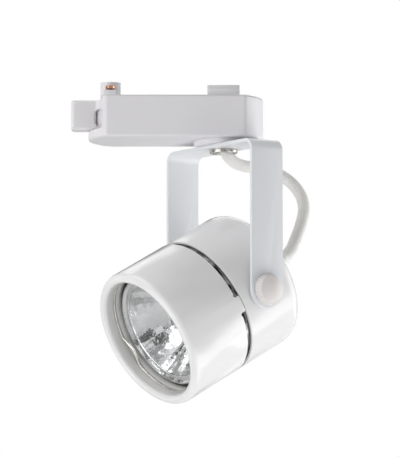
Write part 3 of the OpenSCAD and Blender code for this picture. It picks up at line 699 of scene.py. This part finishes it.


def frontBezel(facts):
    radius, wall, front = facts["radius"], facts["wall"], facts["front"]
    opening, lip, inside, tube = facts["opening"], facts["lip"], facts["inside"], facts["tube"]
    back, shoulder, tubeBack = facts["back"], facts["shoulder"], facts["tubeBack"]
    groove = opening + facts["grooveDeep"]
    # the two roundings of the lip meet at its crest
    half = (opening + inside - radius + lip) / 2
    outerEnd = math.degrees(math.acos(half / lip))
    innerStart = math.degrees(math.acos(-half / inside))
    stations = [(radius, back)]
    stations += arc(radius - lip, front - lip, lip, 0, outerEnd, 12)
    stations += arc(opening + inside, front - inside, inside, innerStart, 180, 8)
    stations += [(opening, facts["grooveFront"]), (groove, facts["grooveFront"])]
    stations += [(groove, facts["grooveBack"]), (opening, facts["grooveBack"]), (opening, tubeBack)]
    stations += [(opening + tube, tubeBack), (opening + tube, shoulder), (radius - wall, shoulder)]
    stations += [(radius - wall, back)]
    bezel = turned("frontBezel", stations, facts["steps"], 0)

    # degrees from the nearest tab
    def fromTab(place):
        turn = math.degrees(math.atan2(place.y, place.x)) % 120
        return min(turn, 120 - turn)

    def atBack(place):
        return abs(place.z - back * mm) < 0.001 * mm

    # three tabs are drawn out of the back edge
    editing(bezel)
    bpy.ops.mesh.select_all(action="DESELECT")
    finished()
    for face in bezel.data.polygons:
        face.select = fromTab(face.center) < facts["tabHalf"] and atBack(face.center)
    bpy.ops.object.mode_set(mode="EDIT")
    bpy.ops.mesh.select_mode(type="FACE")
    bpy.ops.mesh.extrude_region_move(TRANSFORM_OT_translate={"value": (0, 0, -facts["tabReach"] * mm)})
    bpy.ops.mesh.select_all(action="SELECT")
    bpy.ops.mesh.normals_make_consistent(inside=False)
    bpy.ops.mesh.select_mode(type="VERT")
    finished()
    # a small relief is filed into the edge on both sides of each tab
    for point in bezel.data.vertices:
        if abs(fromTab(point.co) - facts["notch"]) < 0.2 and atBack(point.co):
            point.co.z += facts["notchDeep"] * mm
    easeEdges(bezel, facts["edge"] * mm, 2, 50)
    smooth(bezel)
    moveTo(bezel, headPlace)
    fitted(bezel, "head", headWhite, "head_white", "front_bezel")
    bezel.data.materials.append(boreWithPaintedShade)
    # the faces deep in the bore take the grey of painted shade
    axis = headPlace.to_3x3() @ Vector((0, 0, 1))
    for face in bezel.data.polygons:
        reach = face.center - pivot
        depth = reach.dot(axis)
        out = (reach - depth * axis).length
        if out < (opening + tube - 0.2) * mm and depth < (front - facts["bareAndShadedFrom"]) * mm:
            face.material_index = 1


ringFacts = {
    "radius": 27.0, "wire": 0.5, "height": 39.3,
    "start": 15, "space": 1.2,    # where the wire begins, and how far its ends stay from there, in degrees
    "kinkIn": 3.492,              # depth of a kink
    "kinkHalf": 14.5, "apex": 0.5,    # half the width of a kink and of its tip, in degrees
    "steps": 14,                  # parts of each round stretch
}


# sprung wire: round arcs between three kinks, with a small space where its ends meet
def wireRing(facts):
    radius, half, steps = facts["radius"], facts["kinkHalf"], facts["steps"]
    span = 60 - half
    stations = []
    for i in range(3):
        begin = facts["start"] + 120 * i
        kink = begin + 60
        stations += [(radius, begin + span * k / steps) for k in range(steps + 1)]
        stations += [(radius - facts["kinkIn"], kink + side * facts["apex"]) for side in (-1, 1)]
        stations += [(radius, kink + half + span * k / steps) for k in range(steps)]
    stations[0] = (radius, facts["start"] + facts["space"])
    stations.append((radius, facts["start"] + 360 - facts["space"]))
    points = []
    for out, turn in stations:
        angle = math.radians(turn)
        points.append(Vector((out * math.cos(angle), out * math.sin(angle), facts["height"])) * mm)
    ring = bentWire("retainingRing", points, facts["wire"] * mm, 4)
    editing(ring)
    bpy.ops.mesh.remove_doubles(threshold=0.001 * mm)
    bpy.ops.mesh.normals_make_consistent(inside=False)
    finished()
    smooth(ring, 50)
    moveTo(ring, headPlace)
    fitted(ring, "head", springWire, "wire_steel", "retaining_ring")


rearCan(canFacts)
couplingSleeve(sleeveFacts)
frontBezel(bezelFacts)
wireRing(ringFacts)
sleeveRivets(sleeveFacts)
print("head shells are spun")


lampFacts = {
    "glass": 37.2, "glassThick": 1.2, "glassChamfer": 0.2, "glassRounding": 0.4, "lens": 24,
    "rim": 25, "rimDeep": 2.6, "rimRaised": 0.9, "rimRounding": 0.5, "rimChamfer": 0.4,
    "dish": 21.8, "depth": 20, "neck": 5.2, "shell": 1.6,
    "sectors": 30, "rows": 8,    # facets round and along the bowl
    "fine": 4,                   # faces along each side of a facet
    "domed": 0.05, "twist": 0.3,    # bulge of a facet, and how far a sector leans
    "back": -2.4, "seat": 7, "base": 8.4, "baseHigh": 11, "chamfer": 1,
    "capsule": 4.3, "capsuleLong": 25,
    "coils": 14, "coil": 0.55, "coilHalf": 1.9, "coilDown": 3.2, "legDown": 3.5, "wire": 0.1, "legs": 2.1,
    "holderEdge": 0.25, "bracketEdge": 0.15,
}


def lampDish(facts):
    front = facts["glass"] - facts["glassThick"]
    depth, dish, neck = facts["depth"], facts["dish"], facts["neck"]
    sectors, rows, fine = facts["sectors"], facts["rows"], facts["fine"]
    back, base, chamfer = facts["back"], facts["base"], facts["chamfer"]
    floor, parts = front - depth, rows * fine
    radii = [neck + (dish - neck) * i / parts for i in range(parts + 1)]
    inner = [(radius, floor + depth * (radius / dish) ** 2) for radius in radii]
    outer = [(radius + facts["shell"], height - facts["shell"]) for radius, height in reversed(inner[::fine])]
    stations = [(0, back + facts["seat"]), (neck, back + facts["seat"])] + inner + outer
    stations += [(base, back + facts["baseHigh"]), (base, back + chamfer), (base - chamfer, back), (0, back)]
    reflector = turned("facetedReflector", stations, sectors * fine, 0, closed=False)
    # every sector of the bowl leans its own way and every facet bulges a little
    chance = random.Random(7)
    leans = [chance.uniform(-1, 1) * facts["twist"] for i in range(sectors)]
    for point in reflector.data.vertices:
        out, turn = math.hypot(point.co.x, point.co.y) / mm, math.atan2(point.co.y, point.co.x)
        if out > neck - 0.01 and abs(point.co.z / mm - floor - depth * (out / dish) ** 2) < 0.01:
            sector = turn / (2 * math.pi) * sectors
            across, along = sector % 1, (out - neck) / (dish - neck) * rows % 1
            lift = facts["domed"] * 16 * across * (1 - across) * along * (1 - along)
            # the points on the line between two sectors stay
            if 0.1 < across < 0.9:
                lift += leans[int(sector) % sectors] * (across - 0.5)
            slope = 2 * depth * out / dish ** 2
            inwards = Vector((-slope * math.cos(turn), -slope * math.sin(turn), 1)).normalized()
            point.co += inwards * lift * mm
    smooth(reflector, 10)
    moveTo(reflector, headPlace)
    fitted(reflector, "head", mirror, "reflector", "lamp_reflector")


# the thick glass edge of the lamp, in front of the bowl
def glassRim(facts):
    front = facts["glass"] - facts["glassThick"]
    dish, lens, rim, low = facts["dish"], facts["lens"], facts["rim"], front - facts["rimDeep"]
    rounding, raised, chamfer = facts["rimRounding"], facts["rimRaised"], facts["rimChamfer"]
    stations = [(dish - 0.3, front - 0.25), (dish - 0.1, front - 0.05), (lens + 0.1, front - 0.05)]
    stations += [(lens + 0.15, front + raised), (rim - rounding, front + raised)]
    stations += arc(rim - rounding, front + raised - rounding, rounding, 90, 0, 4)
    stations += [(rim, low + chamfer), (rim - chamfer, low), (dish - 0.3, low)]
    fitted(moveTo(turned("glassRim", stations, 120), headPlace), "head", mirror, "reflector")


def lampGlass(facts):
    radius, front, back = facts["lens"], facts["glass"], facts["glass"] - facts["glassThick"]
    chamfer, rounding = facts["glassChamfer"], facts["glassRounding"]
    stations = [(0, back + 0.02), (radius - chamfer, back + 0.02)]
    stations += [(radius, back + chamfer), (radius, front - rounding)]
    stations += arc(radius - rounding, front - rounding, rounding, 0, 90, 4) + [(0, front)]
    glass = moveTo(turned("frontGlass", stations, 120, 35, closed=False), headPlace)
    fitted(glass, "head", frontGlass, "lens_glass", "lamp_lens")


def lampBulb(facts):
    base = facts["back"] + facts["seat"] + 0.1
    radius, top = facts["capsule"], base + facts["capsuleLong"]
    shoulder = top - radius
    # the glass is drawn in at its foot and nipped off at its tip
    stations = [(0, base), (radius - 0.9, base), (radius - 0.5, base + 3.5), (radius - 0.2, base + 5)]
    stations += arc(0, shoulder, radius, 0, 78, 9) + [(0.7, top - 0.12), (0.45, top - 0.02), (0, top)]
    bulb = moveTo(turned("quartzCapsule", stations, 48, 50, closed=False), headPlace)
    fitted(bulb, "head", bulbGlass, "capsule_glass", "lamp_capsule")


# coiled filament across the bulb, on its two legs
def filament(facts):
    base = facts["back"] + facts["seat"] + 0.1
    shoulder = base + facts["capsuleLong"] - facts["capsule"]
    legs, coil, half, parts = facts["legs"], facts["coil"], facts["coilHalf"], facts["coils"] * 8
    middle, legTop = shoulder - facts["coilDown"], shoulder - facts["legDown"]
    line = [(-legs, 0, base + 1), (-legs, 0, legTop)]
    for i in range(parts + 1):
        turn = 2 * math.pi * i / 8
        line.append((half * (2 * i / parts - 1), coil * math.cos(turn), middle + coil * math.sin(turn)))
    line += [(legs, 0, legTop), (legs, 0, base + 1)]
    wire = bentWire("filament", [Vector(place) * mm for place in line], facts["wire"] * mm, 1)
    fitted(moveTo(wire, headPlace), "head", zinc, "zinc_steel")


def lampHolder(facts):
    holder = eased("lampHolder", "lamp_holder", facts["holderEdge"] * mm)
    fitted(holder, "head", ceramic, "ceramic", "lamp_holder")
    for name, node in (("holderBracket", "holder_bracket"), ("holderScrews", "holder_screws")):
        fitted(eased(name, node, facts["bracketEdge"] * mm), "head", zinc, "zinc_steel", node)
    recoat(zinc, "lamp_pins")


lampDish(lampFacts)
glassRim(lampFacts)
lampGlass(lampFacts)
lampBulb(lampFacts)
filament(lampFacts)
lampHolder(lampFacts)
print("lamp is set")


bushFacts = {
    "side": 17, "up": 4, "radius": 3.4, "flange": 4.6, "flangeThick": 1.4, "rounding": 0.5, "bore": 2.95,
    "floor": -17.1, "back": -18.3, "out": 7,
    "ribs": 2, "ribFrom": 2.2, "ribPitch": 1.5, "ribHalf": 0.35,    # shallow ribs round the neck
}


def cableBush(facts):
    bore, radius, flange, back = facts["bore"], facts["radius"], facts["flange"], facts["back"]
    inside, tip = facts["floor"] + facts["flangeThick"], back - facts["out"]
    outside, rounding = back - facts["flangeThick"], facts["rounding"]
    stations = [(bore, inside), (flange, inside), (flange, facts["floor"]), (radius, facts["floor"])]
    stations += [(radius, back), (flange, back)]
    stations += arc(flange - rounding, outside + rounding, rounding, 0, -90, 4)
    stations += [(radius + 0.5, outside - 0.3), (radius + 0.2, outside - 1.6)]
    for i in range(facts["ribs"]):
        middle, half = outside - facts["ribFrom"] - facts["ribPitch"] * i, facts["ribHalf"]
        stations += [(radius - 0.05, middle + half), (radius + 0.12, middle), (radius - 0.05, middle - half)]
    stations += [(radius - 0.1, tip + 0.3), (radius - 0.3, tip), (bore, tip)]
    place = headPlace @ Matrix.Translation((facts["side"] * mm, facts["up"] * mm, 0))
    bush = moveTo(turned("cableBush", stations, 48), place)
    fitted(bush, "head", bushClear, "bush_clear", "cable_bush")


cableBush(bushFacts)
print("cable bush is in")


knobFacts = {
    "radius": 6.8, "face": 5.7, "height": 4.5, "seat": 33.35, "dome": 1.1, "shoulder": 0.5, "chamfer": 0.35,
    "skirt": 0.8, "grooves": 28, "deep": 0.3,
    "groovePoints": 6,                        # points round each groove
    "pressed": {0: 1.0, 1: 0.55, 5: 0.55},    # share of the depth at each point that goes in
}


def tiltKnobs(facts):
    radius, face, seat, dome = facts["radius"], facts["face"], facts["seat"], facts["dome"]
    shoulder, grooves, points = facts["shoulder"], facts["grooves"], facts["groovePoints"]
    top = seat + facts["height"]
    rim, crest = face - shoulder, top - dome - shoulder
    stations = [(0, seat), (radius - facts["chamfer"], seat)]
    stations += [(radius, seat + 0.3), (radius, seat + facts["skirt"])]
    stations += [(face + 0.12, crest - 0.3)] + arc(rim, crest, shoulder, 5, 78, 5)
    stations += [(rim * k / 8, top - dome * (k / 8) ** 2) for k in range(7, -1, -1)]
    knob = turned("nearKnob", stations, grooves * points, 0, closed=False)
    for point in knob.data.vertices:
        out = math.hypot(point.co.x, point.co.y)
        if out < (face + 0.1) * mm:
            continue
        step = round(math.atan2(point.co.y, point.co.x) / (2 * math.pi) * grooves * points) % points
        shrink = 1 - facts["pressed"].get(step, 0) * facts["deep"] * mm / out
        point.co.x *= shrink
        point.co.y *= shrink
    smooth(knob, 60)
    far = copied(knob, "farKnob")
    moveTo(knob, headPlace @ Matrix.Rotation(math.radians(90), 4, "Y"))
    moveTo(far, headPlace @ Matrix.Rotation(math.radians(-90), 4, "Y"))
    smooth(far, 60)
    fitted(knob, "near_knob", knobWhite, "knob_white", "near_knob")
    fitted(far, "far_knob", knobWhite, "knob_white", "far_knob")
    recoat(zinc, "near_stud", "far_stud", "pivot_inserts")
    recoat(nylon, "tilt_washers")


tiltKnobs(knobFacts)
print("knobs are fitted")


studio = {
    "middle": (0.01, 0, -0.07), "distance": 1.0,
    "floor": -1.5, "floorSize": 8, "floorGlow": 0.12,
    "ambient": 0.46,
    # the dimmer side of the surroundings
    "dimmest": (0.55, -0.75, 0.35), "dimmed": 0.12, "dimFrom": 0.2, "dimTo": 0.95,
    # light and dark patches, which the shiny parts mirror
    "patches": 3.2, "dark": 0.06, "patchFrom": 0.45, "patchTo": 0.55,
    # direction of each soft box from the lamp, its width and its power in watts
    "boxes": {
        "rightBack": ((1, 0.35, 0), 0.8, 4.5),
        "leftFront": ((-0.75, -0.65, 0), 0.8, 2.6),
        "belowRight": ((0.7, -0.1, -0.7), 0.8, 4.6),
        "topLeft": ((-0.5, -0.1, 0.85), 0.8, 2.9),
        "topBack": ((0, 0.6, 0.8), 0.8, 1.8),
        "lampFront": ((-0.73, -0.49, -0.48), 1.05, 3.0),
    },
}


def softBox(name, direction, width, power):
    bpy.ops.object.select_all(action="DESELECT")
    towards = Vector(direction).normalized()
    place = Vector(studio["middle"]) + towards * studio["distance"]
    bpy.ops.object.light_add(type="AREA", location=place, rotation=towards.to_track_quat("Z", "Y").to_euler())
    light = bpy.context.object
    light.name = name
    light.data.shape = "SQUARE"
    light.data.size = width
    light.data.energy = power


for name, (direction, width, power) in studio["boxes"].items():
    softBox(name, direction, width, power)

bpy.ops.object.select_all(action="DESELECT")
bpy.ops.mesh.primitive_plane_add(size=studio["floorSize"], location=(0, 0, studio["floor"]))
floor = bpy.context.object
floor.name = "paleFloor"
floorFinish = Finish("paleFloor")
floorPaint = floorFinish.shader(Base_Color=(0.88, 0.88, 0.88, 1), Roughness=0.8,
                               Emission_Color=(1, 1, 1, 1), Emission_Strength=studio["floorGlow"])
floor.data.materials.append(floorFinish.done(floorPaint))

# pale surroundings with a dimmer side, on a white backdrop
white = (1, 1, 1, 1)
dark = studio["dark"]
world = bpy.data.worlds.new("paleStudio")
bpy.context.scene.world = world
sky = Finish("paleStudio", world)
towards = sky.add("ShaderNodeTexCoord", {}, {}, "Generated")
dimmest = Vector(studio["dimmest"]).normalized()
facing = sky.add("ShaderNodeVectorMath", {"operation": "DOT_PRODUCT"}, (towards, dimmest), "Value")
level = sky.between(facing, studio["dimFrom"], studio["dimTo"]) * -studio["dimmed"] + studio["ambient"]
spots = {"Vector": towards, "Scale": studio["patches"], "Detail": 1.0}
noise = sky.add("ShaderNodeTexNoise", {}, spots, "Fac")
patches = sky.between(noise, studio["patchFrom"], studio["patchTo"]) * (2 - 2 * dark) + dark
ambient = sky.add("ShaderNodeBackground", {}, {"Color": white, "Strength": level * patches})
backdrop = sky.add("ShaderNodeBackground", {}, {"Color": white, "Strength": 1.0})
seen = sky.add("ShaderNodeLightPath", {}, {}, "Is Camera Ray")
both = sky.add("ShaderNodeMixShader", {}, {0: seen, 1: ambient, 2: backdrop})
sky.done(both, "ShaderNodeOutputWorld")
print("studio is lit")
